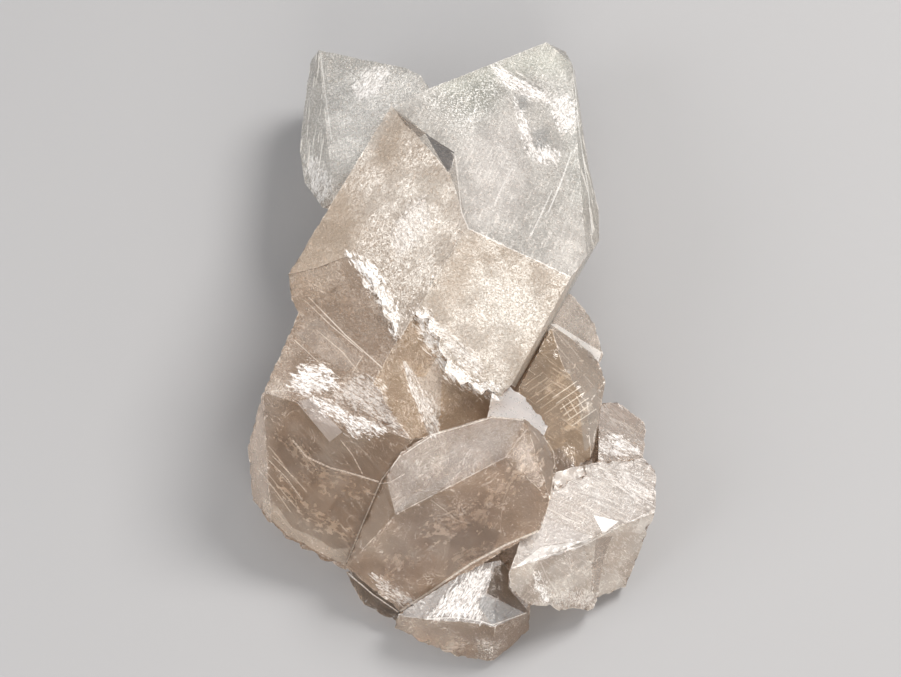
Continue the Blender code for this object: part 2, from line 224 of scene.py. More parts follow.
# The crystals: tint, the way the grain runs, how clear, grainy and so on each one is, and its outline
TEXTURES = ("clear", "grain", "speckle", "smoke", "hatch", "feather", "rough")
ROOT_TINT = (0.66, 0.51, 0.39)
TIP_TINT = (0.70, 0.68, 0.65)
ROOT_END = -25.0
TIP_START = 55.0
ROOT_RUN = 80.0
BARB_REACH = 2.0
CALM_TINT = 0.65
ROOT_TEXTURES = dict(clear=0.86, smoke=0.7, rough=0.12, grain=0.1)
TIP_TEXTURES = dict(clear=0.8, grain=0.3, speckle=0.35, rough=0.16)
ZONES = (
    ("far crystal", (0.62, 0.61, 0.59), 60, dict(clear=0.7, speckle=0.42, grain=0.7, rough=0.25),
     (323, 56, 405, 70, 430, 90, 391, 105, 322, 205, 330, 140)),
    ("far side", (0.54, 0.53, 0.5), 84, dict(clear=0.72, grain=0.5, hatch=1.0, speckle=0.5, rough=0.15),
     (318, 50, 309, 62, 301, 130, 299, 152, 304, 183, 320, 205, 329, 140)),
    ("broad face", (0.555, 0.535, 0.51), 66,
     dict(clear=0.67, grain=0.55, speckle=0.22, hatch=0.4, rough=0.3),
     (393, 107, 546, 42, 571, 62, 583, 257, 481, 240, 466, 226, 454, 155)),
    ("broad side", (0.52, 0.485, 0.43), 102, dict(clear=0.72, hatch=1.0, speckle=0.4, rough=0.3),
     (573, 66, 578, 124, 598, 208, 599, 240, 588, 255)),
    ("left plate", (0.47, 0.383, 0.31), 55, dict(clear=0.57, grain=1.0, rough=0.4),
     (391, 105, 450, 174, 466, 226, 408, 330, 345, 258, 287, 275)),
    ("left end", (0.6, 0.56, 0.51), -40, dict(clear=0.75, grain=0.5, rough=0.15),
     (391, 105, 454, 152, 466, 226, 450, 174)),
    ("centre plate", (0.55, 0.46, 0.375), -38, dict(clear=0.52, grain=1.0, rough=0.4),
     (466, 226, 571, 277, 511, 386, 500, 398, 440, 345, 410, 318)),
    ("left lower", (0.5, 0.37, 0.275), -42, dict(clear=0.72, smoke=0.6, grain=0.4, rough=0.2),
     (287, 275, 345, 258, 395, 338, 375, 380, 330, 360, 270, 372)),
    ("recess", (0.76, 0.545, 0.355), -70, dict(clear=0.78, smoke=0.6, grain=0.5, rough=0.15),
     (400, 335, 440, 345, 500, 398, 490, 416, 430, 434, 410, 440, 385, 400, 380, 380)),
    ("prism bevel", (0.6, 0.46, 0.36), -36, dict(clear=0.72, smoke=0.6, grain=0.4, rough=0.2),
     (264, 392, 372, 384, 409, 438, 340, 416)),
    ("prism end", (0.54, 0.385, 0.27), -50, dict(clear=0.8, smoke=0.7, hatch=0.2, rough=0.12),
     (270, 400, 330, 420, 375, 430, 410, 440, 385, 478, 345, 567, 262, 515, 268, 450)),
    ("prism left", (0.68, 0.55, 0.45), 80, dict(clear=0.75, smoke=0.4, rough=0.2, hatch=0.3),
     (262, 392, 268, 450, 262, 515, 252, 500, 247, 447)),
    ("near bevel", (0.78, 0.65, 0.56), 35, dict(clear=0.74, smoke=0.9, rough=0.15, grain=0.3),
     (395, 508, 386, 478, 402, 454, 430, 438, 490, 420, 522, 422, 500, 455, 440, 488)),
    ("near crystal", (0.76, 0.565, 0.42), 34, dict(clear=0.8, smoke=0.9, rough=0.12, grain=0.22),
     (395, 518, 440, 495, 505, 461, 528, 430, 550, 465, 545, 500, 530, 528, 470, 560, 400, 608, 348, 567)),
    ("near side", (0.78, 0.64, 0.52), 70, dict(clear=0.78, smoke=0.5, rough=0.15),
     (530, 428, 544, 440, 554, 466, 549, 500, 541, 528, 536, 500, 540, 465)),
    ("end facet", (0.93, 0.91, 0.915), 0, dict(clear=0.6, rough=0.3),
     (500, 400, 525, 398, 548, 425, 541, 434, 522, 419, 500, 416)),
    ("side crystal", (0.74, 0.56, 0.39), -34, dict(clear=0.8, hatch=0.3, smoke=0.4, grain=0.15, rough=0.12),
     (551, 330, 590, 390, 588, 430, 575, 455, 552, 440, 524, 396)),
    ("side upper", (0.72, 0.62, 0.53), -50, dict(clear=0.76, smoke=0.3, hatch=0.3, rough=0.2),
     (560, 330, 599, 364, 605, 381, 602, 401, 596, 410)),
    ("side back", (0.7, 0.62, 0.555), -55, dict(clear=0.72, grain=0.3, rough=0.25),
     (570, 293, 585, 310, 594, 324, 604, 347, 599, 362, 556, 325)),
    ("low right", (0.72, 0.64, 0.585), -38, dict(clear=0.7, feather=0.3, smoke=0.4, rough=0.2),
     (603, 403, 617, 402, 643, 421, 646, 430, 643, 458, 596, 458)),
    ("fan upper", (0.78, 0.72, 0.68), -26, dict(clear=0.66, hatch=0.35, feather=0.3, smoke=0.3, rough=0.2),
     (556, 472, 582, 464, 656, 470, 655, 512, 643, 515, 603, 533, 582, 545, 522, 564, 540, 500)),
    # The fan's lower face: pale amber, lifted toward white by a painted sheen.
    ("fan lower", (0.95, 0.885, 0.81), -38, dict(clear=0.66, feather=0.3, smoke=0.9, rough=0.1),
     (512, 568, 582, 545, 643, 515, 643, 533, 623, 574, 596, 597, 591, 608, 550, 604, 514, 588)),
    ("foot", (0.43, 0.315, 0.23), 10, dict(clear=0.78, smoke=1.0, rough=0.15, grain=0.35),
     (394, 622, 426, 621, 472, 622, 491, 626, 528, 614, 527, 632, 491, 662, 432, 650)),
    ("foot top", (0.76, 0.72, 0.7), 40, dict(clear=0.72, rough=0.2, grain=0.2),
     (400, 614, 470, 566, 530, 565, 528, 610, 491, 622, 472, 618, 426, 617)),
    ("foot left", (0.2, 0.15, 0.11), -40, dict(clear=0.8, smoke=0.4, rough=0.15),
     (345, 572, 362, 604, 384, 616, 398, 614)),
)

# Markings with crisp edges: tint, how strong, how clear, how rough, and the outline.
CRISP = (
    ("rhomb", (0.8, 0.73, 0.7), 0.75, 0.62, 0.2, (296, 402, 311, 398, 342, 432, 329, 442)),
    ("leaf", (0.76, 0.7, 0.65), 0.6, 0.66, 0.2,
     (402, 360, 410, 367, 417, 377, 425, 377, 433, 362, 440, 356, 441, 384, 440, 412, 436, 438, 429, 438,
     421, 416, 411, 394)),
    ("dark window", (0.24, 0.25, 0.27), 0.95, 0.95, 0.03, (425, 133, 454, 152, 452, 166, 447, 172)),
    ("brown window", (0.44, 0.36, 0.29), 0.8, 0.95, 0.06, (396, 112, 425, 133, 419, 137, 404, 124)),
    ("fan top facet", (0.92, 0.86, 0.81), 0.9, 0.6, 0.12, (556, 473, 582, 464, 590, 471, 553, 488)),
    ("fan bright facet", (0.97, 0.95, 0.94), 1.0, 0.32, 0.2, (593, 515, 618, 521, 603, 534)),
    ("fan bevel", (0.97, 0.94, 0.92), 0.9, 0.42, 0.2, (515, 567, 540, 547, 566, 543, 594, 538, 574, 550,
     545, 559)),
    ("fan inner facet", (0.94, 0.89, 0.87), 0.7, 0.6, 0.15, (545, 518, 560, 524, 592, 537, 566, 542,
     540, 546, 530, 556, 538, 532)),
    ("foot glass facet", (0.78, 0.8, 0.82), 0.95, 0.72, 0.1, (482, 594, 524, 612, 491, 624, 478, 606)),
    ("foot dark facet", (0.42, 0.35, 0.29), 0.9, 0.92, 0.1, (494, 567, 509, 562, 508, 588, 529, 612,
     524, 613, 486, 593)),
    ("near veil", (0.66, 0.58, 0.51), 0.7, 0.72, 0.15, (404, 500, 440, 480, 470, 462, 445, 484, 428, 500,
     395, 512)),
    ("near dark facet", (0.43, 0.34, 0.28), 0.6, 0.87, 0.1, (449, 540, 472, 520, 500, 532, 492, 552,
     466, 562, 445, 578)),
    ("left lower pane", (0.66, 0.57, 0.5), 0.5, 0.72, 0.15, (296, 334, 318, 318, 345, 345, 362, 360,
     345, 372, 322, 358)),
    ("side pane", (0.72, 0.65, 0.58), 0.8, 0.72, 0.15, (578, 400, 597, 384, 600, 400, 595, 440, 584, 452)),
    ("prism rim band", (0.86, 0.75, 0.64), 0.6, 0.62, 0.25,
     (262, 497, 278, 508, 292, 528, 316, 538, 333, 549, 349, 548, 345, 566, 318, 552, 288, 536, 262, 512)),
    ("prism pane", (0.62, 0.48, 0.37), 0.45, 0.72, 0.15, (318, 486, 340, 470, 356, 474, 330, 506, 316, 520,
     300, 506)),
    ("prism dark pane", (0.36, 0.26, 0.19), 0.4, 0.82, 0.12, (282, 434, 300, 456, 322, 470, 312, 486,
     288, 470, 276, 450)),
    ("near pale pane", (0.72, 0.58, 0.47), 0.5, 0.72, 0.15, (510, 442, 528, 432, 536, 452, 522, 470,
     506, 482, 500, 462)),
    ("near lower pane", (0.74, 0.6, 0.49), 0.4, 0.72, 0.15, (424, 556, 447, 541, 466, 562, 440, 580,
     420, 572)),
    ("near left pane", (0.72, 0.6, 0.5), 0.45, 0.72, 0.12, (352, 556, 382, 488, 392, 512, 372, 540,
     358, 562)),
    ("fan glass facet", (0.86, 0.78, 0.71), 0.6, 0.82, 0.08, (596, 538, 612, 536, 604, 556, 598, 590,
     590, 592)),
    ("fan rim facet", (0.96, 0.92, 0.88), 0.7, 0.52, 0.2, (643, 515, 655, 508, 652, 522, 640, 534,
     634, 532)),
    ("low right facet", (0.7, 0.6, 0.54), 0.6, 0.72, 0.15, (606, 404, 617, 403, 642, 422, 632, 424,
     612, 418)),
    ("side notch", (0.88, 0.85, 0.82), 0.9, 0.42, 0.3, (550, 324, 556, 324, 601, 352, 598, 362, 590, 352)),
)

# Hairlines: tint, strength, width in millimetres, and the points they pass
# The pale lines along the crystals' edges are worn ridges painted with the highlight they catch.
HAIRLINES = (
    ((0.82, 0.74, 0.67), 0.8, 0.28, (308, 297, 345, 335, 382, 368)),
    ((0.8, 0.72, 0.65), 0.7, 0.22, (304, 300, 330, 325, 362, 352)),
    ((0.78, 0.7, 0.62), 0.6, 0.2, (294, 340, 318, 362, 340, 378)),
    ((0.78, 0.7, 0.62), 0.6, 0.2, (362, 356, 352, 372)),
    ((0.9, 0.83, 0.76), 0.6, 0.3, (346, 563, 362, 524, 381, 480, 400, 455)),
    ((0.8, 0.72, 0.65), 0.8, 0.4, (292, 440, 306, 457, 330, 468, 356, 475, 378, 482)),
    ((0.76, 0.68, 0.61), 0.6, 0.25, (340, 440, 352, 455, 362, 474)),
    ((0.76, 0.68, 0.6), 0.6, 0.25, (268, 460, 286, 478, 302, 500)),
    ((0.76, 0.68, 0.6), 0.55, 0.22, (272, 456, 292, 476, 306, 492)),
    ((0.36, 0.28, 0.23), 0.5, 0.3, (276, 470, 292, 488, 302, 502)),
    ((0.36, 0.28, 0.23), 0.45, 0.3, (300, 452, 318, 470, 330, 470)),
    ((0.86, 0.79, 0.72), 0.8, 0.5, (400, 611, 432, 590, 470, 564, 505, 545, 538, 531)),
    ((0.92, 0.86, 0.8), 0.8, 0.3, (431, 435, 470, 424, 492, 417, 522, 420)),
    ((0.84, 0.78, 0.72), 0.7, 0.3, (402, 455, 412, 448, 431, 436)),
    ((0.86, 0.8, 0.74), 0.45, 0.3, (544, 436, 553, 452, 555, 470, 548, 505, 541, 528)),
    ((0.9, 0.86, 0.82), 0.8, 0.3, (455, 156, 459, 190, 461, 212, 468, 228)),
    ((0.96, 0.93, 0.9), 0.7, 0.25, (467, 228, 500, 244, 540, 262, 570, 277)),
    ((0.62, 0.52, 0.44), 0.8, 0.5, (568, 288, 545, 326, 514, 382)),
    ((0.92, 0.88, 0.82), 0.6, 0.25, (463, 232, 445, 262, 424, 300)),
    ((0.9, 0.89, 0.86), 0.7, 0.25, (573, 66, 578, 124, 588, 190, 592, 235)),
    ((0.9, 0.89, 0.86), 0.7, 0.25, (320, 53, 324, 88, 331, 140)),
    ((0.95, 0.92, 0.9), 0.7, 0.3, (512, 568, 545, 556, 582, 546, 603, 535, 645, 514)),
    ((0.4, 0.34, 0.3), 0.6, 0.3, (626, 424, 642, 436)),
    ((0.34, 0.33, 0.31), 0.6, 0.5, (576, 158, 566, 188, 556, 214)),
    ((0.34, 0.33, 0.31), 0.55, 0.45, (581, 172, 570, 208, 561, 236)),
    ((0.36, 0.35, 0.33), 0.45, 0.5, (568, 152, 552, 182, 546, 200)),
    ((0.36, 0.35, 0.33), 0.45, 0.3, (586, 190, 576, 222, 568, 244)),
    ((0.97, 0.96, 0.94), 0.7, 0.35, (572, 150, 560, 184, 548, 212)),
    ((0.97, 0.96, 0.94), 0.6, 0.3, (552, 190, 538, 220, 530, 236)),
    ((0.97, 0.96, 0.94), 0.6, 0.3, (512, 168, 500, 190, 494, 206)),
    ((0.4, 0.38, 0.36), 0.45, 0.3, (474, 192, 476, 226)),
    ((0.46, 0.37, 0.29), 0.6, 0.3, (552, 262, 540, 290)),
    ((0.8, 0.7, 0.6), 0.5, 0.25, (316, 330, 342, 352, 358, 372)),
    ((0.8, 0.7, 0.6), 0.5, 0.25, (258, 470, 276, 492, 290, 512)),
    ((0.8, 0.7, 0.6), 0.45, 0.2, (266, 472, 284, 494, 298, 510)),
    ((0.88, 0.81, 0.75), 0.4, 0.25, (396, 514, 440, 491, 505, 457, 526, 430)),
    ((0.86, 0.76, 0.66), 0.4, 0.25, (430, 500, 444, 510, 456, 520, 470, 524)),
    ((0.86, 0.76, 0.66), 0.3, 0.2, (500, 520, 503, 500, 514, 470)),
    ((0.9, 0.82, 0.74), 0.5, 0.25, (378, 484, 390, 482, 404, 474)),
    ((0.95, 0.9, 0.85), 0.4, 0.35, (540, 562, 548, 580, 560, 596)),
    ((0.46, 0.38, 0.32), 0.5, 0.3, (556, 566, 572, 580, 578, 592)),
    ((0.94, 0.91, 0.88), 0.7, 0.25, (426, 619, 455, 617, 480, 621, 492, 625, 526, 613)),
    ((0.92, 0.88, 0.84), 0.7, 0.3, (345, 571, 372, 594, 398, 612)),
)
# Ladders of fine growth strokes: first place, step to the next, count, the stroke, its tint and strength
LADDERS = (
    ((523, 386), (4.2, 5.6), 6, (20, -14), (0.82, 0.7, 0.57), 0.4),
    ((552, 398), (3.8, 5.6), 6, (25, -17), (0.94, 0.86, 0.76), 0.65),
    ((562, 404), (7.0, -4.0), 3, (8, 14), (0.92, 0.84, 0.74), 0.6),
    ((268, 446), (5.0, 7.0), 4, (14, 17), (0.72, 0.6, 0.49), 0.35),
)
LADDER_WIDTH = 0.24
LINE_CLEAR = 0.35
LINE_ROUGH = 0.3

# Broken white patches: how white, which way their barbs run, and the outline, ragged at its edge
BROKEN = (
    (1.0, -20, (288, 386, 292, 373, 302, 366, 314, 362, 326, 366, 334, 378, 340, 388, 328, 394, 316, 390,
     306, 396, 296, 394)),
    (0.6, -36, (346, 384, 356, 375, 372, 376, 384, 387, 389, 404, 398, 424, 410, 436, 390, 428, 374, 418,
     350, 408, 330, 398, 338, 390)),
    (1.0, -34, (308, 397, 320, 398, 336, 404, 352, 414, 372, 420, 388, 430, 376, 436, 364, 434, 352, 438,
     342, 426, 330, 418, 318, 414)),
    (1.0, -58, (344, 252, 356, 254, 370, 264, 382, 282, 392, 300, 399, 318, 397, 342, 390, 330, 384, 308,
     374, 298, 366, 286, 358, 270)),
    (1.0, -50, (407, 312, 418, 306, 430, 310, 437, 326, 440, 342, 446, 356, 458, 368, 474, 378, 500, 388,
     500, 400, 486, 398, 462, 388, 446, 380, 438, 366, 432, 352, 424, 346, 418, 332)),
    (0.55, -42, (436, 322, 452, 336, 470, 352, 484, 368, 478, 378, 458, 366, 442, 348)),
    (1.0, 60, (426, 618, 446, 592, 468, 572, 490, 566, 492, 574, 484, 592, 479, 604, 480, 621, 455, 617)),
    (1.0, -20, (598, 440, 606, 432, 620, 436, 640, 447, 643, 457, 600, 456)),
    (0.7, 84, (304, 160, 314, 156, 330, 176, 334, 192, 322, 206, 308, 190)),
    (0.95, -30, (490, 62, 506, 68, 524, 80, 548, 92, 550, 102, 534, 100, 512, 88, 496, 76)),
    (0.8, 60, (550, 96, 566, 92, 578, 108, 576, 128, 562, 134, 554, 118)),
    (0.85, -66, (514, 98, 522, 112, 530, 128, 534, 146, 556, 148, 558, 160, 538, 164, 526, 150, 518, 124)),
    (0.7, 60, (350, 86, 366, 70, 384, 66, 388, 84, 370, 98, 356, 100)),
    (0.9, -58, (533, 574, 538, 572, 545, 586, 553, 602, 545, 603, 536, 592)),
    (0.55, -26, (598, 470, 628, 474, 652, 490, 654, 506, 630, 496, 606, 482)),
    (0.5, -60, (548, 598, 566, 590, 596, 594, 592, 606, 560, 606)),
    (0.7, -34, (372, 574, 388, 582, 408, 596, 424, 604, 412, 610, 396, 602, 380, 592)),
    (0.7, -64, (402, 360, 411, 368, 419, 384, 432, 398, 438, 414, 437, 436, 430, 438, 421, 416, 410, 390)),
    (0.5, -60, (390, 230, 410, 200, 426, 196, 432, 220, 418, 246, 398, 256)),
)

# The patches along the two torn plates
TEARS = (3, 4)

# Soft clouds in the tint: tint, strength, softness in millimetres, outline
CLOUDS = (
    ((0.5, 0.39, 0.295), 0.85, 6.0, (270, 300, 284, 262, 324, 196, 348, 186, 362, 226, 350, 258, 330, 290)),
    ((0.5, 0.38, 0.285), 0.6, 5.0, (280, 300, 288, 268, 312, 262, 334, 282, 322, 306, 300, 312)),
    ((0.9, 0.84, 0.77), 0.4, 5.0, (400, 160, 450, 180, 462, 226, 430, 290, 405, 270, 388, 205)),
    ((0.9, 0.84, 0.78), 0.25, 4.0, (362, 186, 384, 170, 396, 200, 378, 226, 362, 216)),
    ((0.46, 0.37, 0.29), 0.65, 3.0, (376, 124, 392, 118, 404, 128, 404, 160, 388, 176, 372, 160)),
    ((0.94, 0.87, 0.8), 0.35, 5.0, (440, 300, 500, 270, 540, 300, 520, 350, 500, 385, 450, 345)),
    ((0.62, 0.51, 0.41), 0.55, 4.0, (428, 300, 462, 240, 478, 244, 470, 290, 446, 318)),
    ((0.5, 0.42, 0.35), 0.7, 1.6, (532, 262, 552, 270, 548, 290, 536, 300, 528, 284)),
    ((0.38, 0.39, 0.35), 0.75, 3.5, (458, 76, 486, 68, 500, 84, 494, 108, 470, 112, 455, 96)),
    ((0.74, 0.77, 0.68), 0.75, 3.0, (440, 86, 546, 44, 570, 62, 560, 74, 500, 72, 448, 94)),
    ((0.8, 0.82, 0.78), 0.5, 4.0, (556, 76, 572, 66, 584, 130, 590, 200, 574, 200, 566, 130)),
    ((0.84, 0.8, 0.78), 0.7, 5.0, (462, 130, 520, 115, 530, 170, 520, 220, 470, 225, 460, 170)),
    ((0.96, 0.92, 0.88), 0.8, 4.0, (560, 222, 588, 232, 586, 262, 572, 276, 552, 262)),
    ((0.4, 0.41, 0.42), 0.85, 1.2, (516, 97, 526, 94, 528, 106, 520, 110)),
    ((0.4, 0.41, 0.42), 0.85, 1.6, (534, 132, 544, 128, 549, 142, 540, 150, 533, 146)),
    ((0.93, 0.92, 0.9), 0.7, 3.5, (384, 72, 418, 76, 424, 94, 398, 102, 376, 88)),
    ((0.92, 0.92, 0.91), 0.7, 5.0, (338, 96, 372, 84, 386, 108, 360, 150, 336, 168, 330, 130)),
    ((0.5, 0.5, 0.49), 0.7, 3.0, (324, 84, 344, 78, 360, 88, 350, 106, 326, 116)),
    ((0.48, 0.48, 0.46), 0.6, 3.0, (304, 100, 318, 90, 322, 130, 316, 160, 306, 140)),
    ((0.36, 0.26, 0.19), 0.6, 5.0, (276, 424, 320, 436, 384, 448, 384, 474, 330, 480, 286, 470)),
    ((0.4, 0.3, 0.23), 0.5, 5.0, (330, 488, 372, 484, 366, 520, 334, 516)),
    ((0.84, 0.74, 0.65), 0.75, 3.0, (262, 388, 290, 376, 282, 404, 270, 430, 266, 470, 276, 506, 254, 502,
     244, 450, 252, 414)),
    ((0.84, 0.73, 0.62), 0.7, 3.0, (262, 500, 290, 528, 330, 552, 345, 566, 352, 546, 310, 520, 280, 496)),
    ((0.42, 0.31, 0.25), 0.6, 4.0, (408, 520, 470, 500, 496, 510, 440, 560, 400, 588, 380, 570)),
    ((0.4, 0.3, 0.25), 0.55, 2.0, (448, 452, 470, 448, 478, 462, 462, 474, 448, 468)),
    ((0.4, 0.3, 0.25), 0.55, 2.0, (490, 450, 500, 446, 504, 460, 496, 470, 488, 462)),
    ((0.48, 0.36, 0.3), 0.5, 2.0, (478, 502, 498, 494, 506, 508, 490, 522, 474, 516)),
    ((0.46, 0.35, 0.28), 0.45, 3.0, (432, 524, 456, 516, 466, 540, 446, 560, 428, 548)),
    ((0.88, 0.78, 0.7), 0.45, 3.0, (396, 512, 440, 496, 448, 512, 420, 536, 392, 548)),
    ((0.92, 0.85, 0.79), 0.5, 1.2, (456, 474, 500, 452, 512, 430, 470, 440, 430, 458)),
    ((0.78, 0.66, 0.57), 0.5, 4.0, (510, 440, 535, 436, 545, 470, 530, 510, 512, 500, 516, 462)),
    ((0.86, 0.78, 0.71), 0.6, 3.5, (404, 462, 440, 440, 500, 424, 496, 440, 440, 470, 404, 500)),
    ((0.5, 0.35, 0.22), 0.7, 3.0, (440, 372, 470, 388, 500, 402, 480, 416, 444, 428, 442, 396)),
    ((0.52, 0.38, 0.26), 0.6, 3.0, (400, 344, 424, 350, 434, 358, 420, 374, 402, 356, 384, 376)),
    ((0.46, 0.34, 0.23), 0.6, 3.0, (530, 350, 552, 352, 560, 372, 540, 380, 524, 378)),
    ((0.95, 0.91, 0.89), 0.5, 4.0, (580, 480, 640, 478, 648, 505, 620, 512, 590, 505)),
    ((0.5, 0.42, 0.37), 0.5, 2.5, (560, 552, 580, 548, 584, 566, 566, 572)),
    ((0.6, 0.49, 0.4), 0.6, 2.5, (596, 536, 636, 530, 618, 570, 602, 572)),
    ((0.42, 0.33, 0.27), 0.6, 2.5, (470, 636, 500, 640, 494, 656, 476, 656)),
    ((0.42, 0.34, 0.28), 0.5, 3.0, (420, 625, 470, 626, 470, 640, 430, 642)),
)

# Places where dark and white specks gather: strength, softness and outline
PEPPERED = (
    (1.0, 5.0, (432, 88, 500, 62, 514, 78, 490, 118, 462, 140, 440, 118, 420, 100)),
    (0.6, 6.0, (432, 86, 546, 42, 572, 62, 580, 140, 588, 210, 570, 200, 560, 120, 520, 80)),
    (0.7, 3.0, (345, 62, 404, 72, 400, 84, 350, 76)),
    (0.5, 4.0, (470, 268, 540, 280, 548, 320, 500, 345, 476, 310)),
    (0.8, 2.5, (476, 640, 500, 642, 494, 660, 478, 660)),
)

FAR_OFF = 6.0


def outline_distance(points, outline, reach=FAR_OFF):
    """Signed distance of points to an outline, positive inside, no lower than minus the reach."""
    corners = np.array(outline, float)
    distance = np.full(len(points), -reach)
    close = ((points > corners.min(axis=0) - reach) & (points < corners.max(axis=0) + reach)).all(axis=1)
    points = points[close]
    nearest = np.full(len(points), reach * reach)
    inside = np.zeros(len(points), bool)
    for a, b in zip(corners, np.roll(corners, -1, axis=0)):
        edge = b - a
        share = np.clip(((points - a) @ edge) / (edge @ edge), 0.0, 1.0)
        gap = points - (a + share[:, None] * edge)
        nearest = np.minimum(nearest, gap[:, 0] ** 2 + gap[:, 1] ** 2)
        crosses = (a[1] > points[:, 1]) != (b[1] > points[:, 1])
        rise = np.where(crosses, points[:, 1] - a[1], 0.0) / (edge[1] if abs(edge[1]) > 1e-9 else 1e-9)
        inside ^= crosses & (points[:, 0] < a[0] + rise * edge[0])
    nearest = np.sqrt(nearest)
    distance[close] = np.where(inside, nearest, -nearest)
    return distance


def ribbon(start, end, width):
    """The outline of a narrow stripe between two points."""
    along = (end - start) / np.linalg.norm(end - start)
    side = np.array((-along[1], along[0])) * width / 2
    return np.array((start - side, end - side, end + side, start + side))


def crisp_groups():
    """The crisp markings, in groups that lie together: tint, strength, clearness, roughness and outline."""
    groups = []
    for _, tint, strength, clear, rough, outline in CRISP:
        groups.append([(tint, strength, clear, rough, drawn(outline))])
    for tint, strength, width, points in HAIRLINES:
        line = drawn(points)
        stripes = [ribbon(start, end, width) for start, end in zip(line[:-1], line[1:])]
        groups.append([(tint, strength, LINE_CLEAR, LINE_ROUGH, stripe) for stripe in stripes])
    for first, step, count, stroke, tint, strength in LADDERS:
        starts = [np.array(first) + np.array(step) * number for number in range(count)]
        rungs = [ribbon(*drawn((start, start + stroke)), LADDER_WIDTH) for start in starts]
        groups.append([(tint, strength, LINE_CLEAR, LINE_ROUGH, rung) for rung in rungs])
    return groups


def smooth(values, low, high):
    share = np.clip((values - low) / (high - low), 0.0, 1.0)
    return share * share * (3.0 - 2.0 * share)


# The fine surface

FINE_EDGE = 0.8
BACK_FINE_EDGE = 1.6
FRONT_EDGE = 1.9
BACK_EDGE = 3.2
SPLIT_ROUNDS = 10
CREASE = math.radians(14.0)
CREASE_SAMPLE = 0.4
THIN = 0.25
EDGE_REACH = 3.0
CREASE_REACH = 0.8
BROKEN_REACH = 0.6
FACING = 0.02
SIGHT_SLACK = 0.4
CUT_MARGIN = 0.1
MARK_SLACK = 0.005
MARK_MARGIN = 1.0
MARK_CALM = 0.7
# The relief: sizes and depths of its waves, chips and shards, and the height where it fades to the underside
WAVE_SIZE = 7.0
WAVE_DEPTH = 0.14
WAVE_FADE = 1.2
CHIP_SIZE = 1.7
CHIP_GRAIN = 0.7
CHIP_WIDTH = 1.5
CHIP_DEPTH = 0.25
LOWER_CHIP_DEPTH = 0.85
LOWER_RANGE = (-20.0, 15.0)
SHARD_REACH = 0.4
SHARD_SIZE = 0.9
SHARD_GRAIN = 0.8
SHARD_DEPTH = 0.35
UNDERSIDE_FADE = (0.3, 1.6)
SHARP_EDGE = math.radians(16.0)


def coordinates(mesh):
    return np.array([vertex.co[:] for vertex in mesh.verts])


def under(faces, low, high):
    """The faces whose outline in the picture reaches into a box."""
    counts = [len(face.verts) for face in faces]
    place = picture_place(np.array([vertex.co[:] for face in faces for vertex in face.verts]))[:, :2]
    starts = np.concatenate(((0,), np.cumsum(counts)[:-1]))
    highest = np.maximum.reduceat(place, starts)
    lowest = np.minimum.reduceat(place, starts)
    reaches = (highest >= low).all(axis=1) & (lowest <= high).all(axis=1)
    return [face for face, inside in zip(faces, reaches) if inside]


def sight_ray(spot):
    return np.array((spot[0], 0.0, 0.0)) + spot[1] * SIGHT_UP - VIEW_DISTANCE * TOWARD_VIEWER


def cut_outlines(mesh, outlines):
    """Split the faces toward the viewer under neighbouring outlines, so that markings end crisply."""
    toward = Vector(TOWARD_VIEWER)
    corners = np.concatenate(outlines)
    faces = [face for face in mesh.faces if face.normal.dot(toward) > FACING]
    faces = under(faces, corners.min(axis=0) - CUT_MARGIN, corners.max(axis=0) + CUT_MARGIN)
    for outline in outlines:
        for start, end in zip(outline, np.roll(outline, -1, axis=0)):
            below = under(faces, np.minimum(start, end) - CUT_MARGIN, np.maximum(start, end) + CUT_MARGIN)
            if not below:
                continue
            normal = Vector(np.cross(sight_ray(start), sight_ray(end))).normalized()
            edges = (edge for face in below for edge in face.edges)
            vertices = (vertex for face in below for vertex in face.verts)
            geometry = list(dict.fromkeys((*below, *edges, *vertices)))
            cut = bmesh.ops.bisect_plane(
                mesh, geom=geometry, dist=0.01, plane_co=Vector(EYE), plane_no=normal)["geom"]
            faces = [face for face in faces if face.is_valid]
            pieces = (item for item in cut if isinstance(item, bmesh.types.BMFace))
            faces = list(dict.fromkeys((*faces, *pieces)))
    bmesh.ops.triangulate(mesh, faces=[face for face in mesh.faces if len(face.verts) > 3])


def drop_folds(mesh):
    """Take out faces that lie on the same corners in pairs, which narrow cuts leave behind."""
    stacks = {}
    for face in mesh.faces:
        stacks.setdefault(frozenset(face.verts), []).append(face)
    folded = [face for stack in stacks.values() for face in stack[len(stack) % 2:]]
    bmesh.ops.delete(mesh, geom=folded, context="FACES")


def wanted_lengths(mesh, edges, tree):
    """How long each edge may be: short by creases and broken patches that the viewer sees, long behind."""
    middles = np.array([((edge.verts[0].co + edge.verts[1].co) / 2)[:] for edge in edges])
    normals = np.array([(edge.link_faces[0].normal + edge.link_faces[1].normal)[:] for edge in edges])
    front = normals @ TOWARD_VIEWER > FACING
    place = picture_place(middles)[:, :2]
    broken = np.full(len(edges), -FAR_OFF)
    for _, _, outline in BROKEN:
        broken = np.maximum(broken, outline_distance(place, drawn(outline), 1.0))
    crease = np.array([tree.find(middle)[2] for middle in middles])
    fine = (crease < CREASE_REACH) | (front & (broken > -BROKEN_REACH))
    plain = np.where(front, FRONT_EDGE, BACK_EDGE)
    return np.where(fine, np.where(front, FINE_EDGE, BACK_FINE_EDGE), plain)


def refine(mesh, tree):
    for _ in range(SPLIT_ROUNDS):
        edges = [edge for edge in mesh.edges if edge.calc_length() > FINE_EDGE]
        lengths = np.array([edge.calc_length() for edge in edges])
        long_edges = [edges[index] for index in np.nonzero(lengths > wanted_lengths(mesh, edges, tree))[0]]
        if not long_edges:
            break
        bmesh.ops.subdivide_edges(mesh, edges=long_edges, cuts=1)
        bmesh.ops.triangulate(mesh, faces=[face for face in mesh.faces if len(face.verts) > 3])


